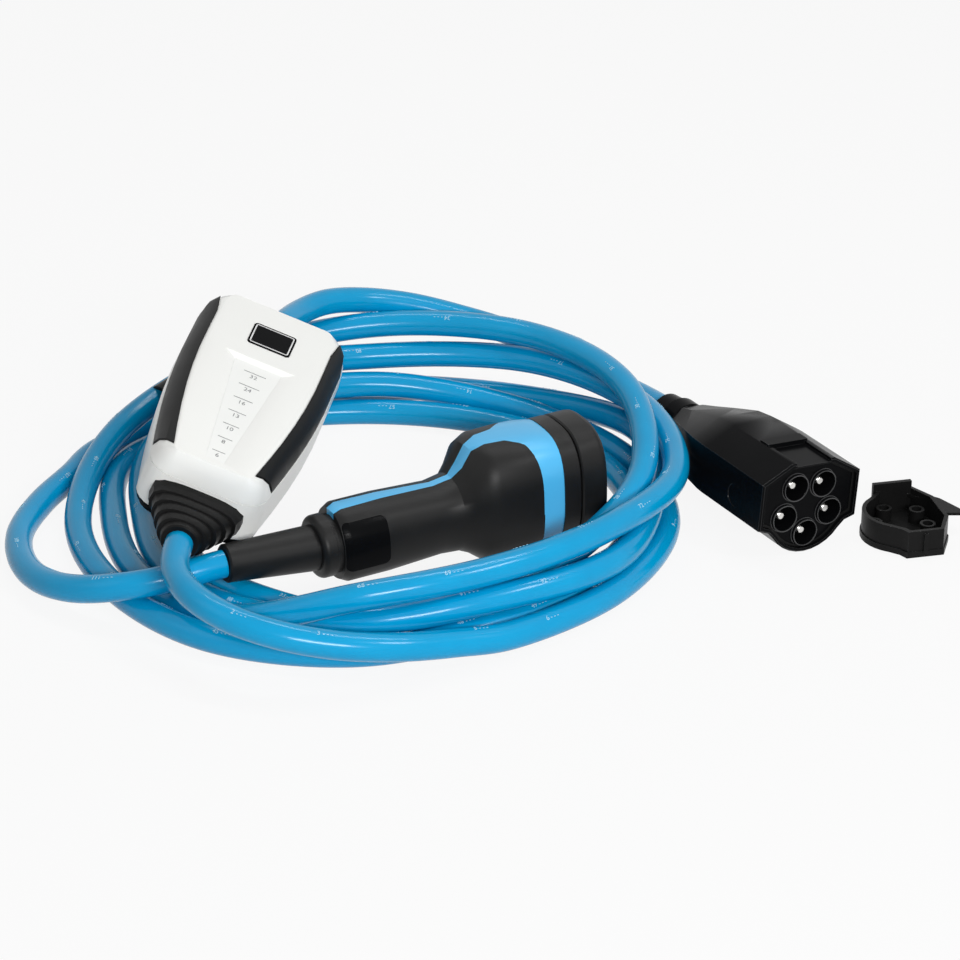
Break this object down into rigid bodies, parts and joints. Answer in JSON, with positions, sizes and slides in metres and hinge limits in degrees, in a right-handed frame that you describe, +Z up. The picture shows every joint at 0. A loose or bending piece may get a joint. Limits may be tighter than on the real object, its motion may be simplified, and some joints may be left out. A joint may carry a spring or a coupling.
{
  "type": "portable vehicle charger",
  "caption": "Portable vehicle charger: control box with a display recess, a handled vehicle connector under a cap and a pinned supply connector, joined by coiled cords.",
  "frame": {"origin": "on the floor, under the middle of the box round the rigid pieces without the cords", "axes": "+Z up, +X to the viewer's right along the longest side, +Y away from the viewer"},
  "size_m": [0.6072, 0.4394, 0.1205],
  "materials": {
    "white_shell": "satin",
    "display_window": "satin",
    "black_plastic": "fine grain",
    "black_rubber": "satin",
    "light_blue": "satin",
    "blue_cord": "satin sheath",
    "board_green": "solder mask",
    "relay_blue": "moulded",
    "coil_tape": "taped",
    "terminal_green": "moulded",
    "steel": "zinc plated",
    "plated_brass": "nickel plated"
  },
  "bodies": {
    "root": {"front_cover": "white_shell", "housing_frame": "white_shell", "rear_shell": "black_plastic", "left_grip": "black_rubber", "right_grip": "black_rubber", "badge_plate": "black_plastic", "display_window": "display_window", "case_gasket": "black_rubber", "control_board": "board_green", "display_board": "board_green", "main_relays": "relay_blue", "current_sensor": "black_plastic", "supply_transformer": "coil_tape", "terminal_blocks": "terminal_green", "case_screws": "steel", "cord_clamps": "steel", "vehicle_boot": "black_rubber", "supply_boot": "black_rubber", "connector_core": "light_blue", "left_side_grip": "black_rubber", "right_side_grip": "black_rubber", "rating_plate": "black_plastic", "clamp_nut": "black_plastic", "strain_sleeve": "black_rubber", "front_collar": "black_plastic", "contact_carrier": "black_plastic", "power_contacts": "plated_brass", "signal_contacts": "plated_brass", "dust_cap": "black_rubber", "supply_housing": "black_plastic", "pin_carrier": "black_plastic", "supply_pins": "plated_brass", "face_seal": "black_rubber", "supply_gland": "black_plastic", "supply_cap": "black_rubber", "vehicle_cable": "blue_cord", "supply_cable": "blue_cord", "cable_strap": "black_rubber"}
  },
  "joints": []
}
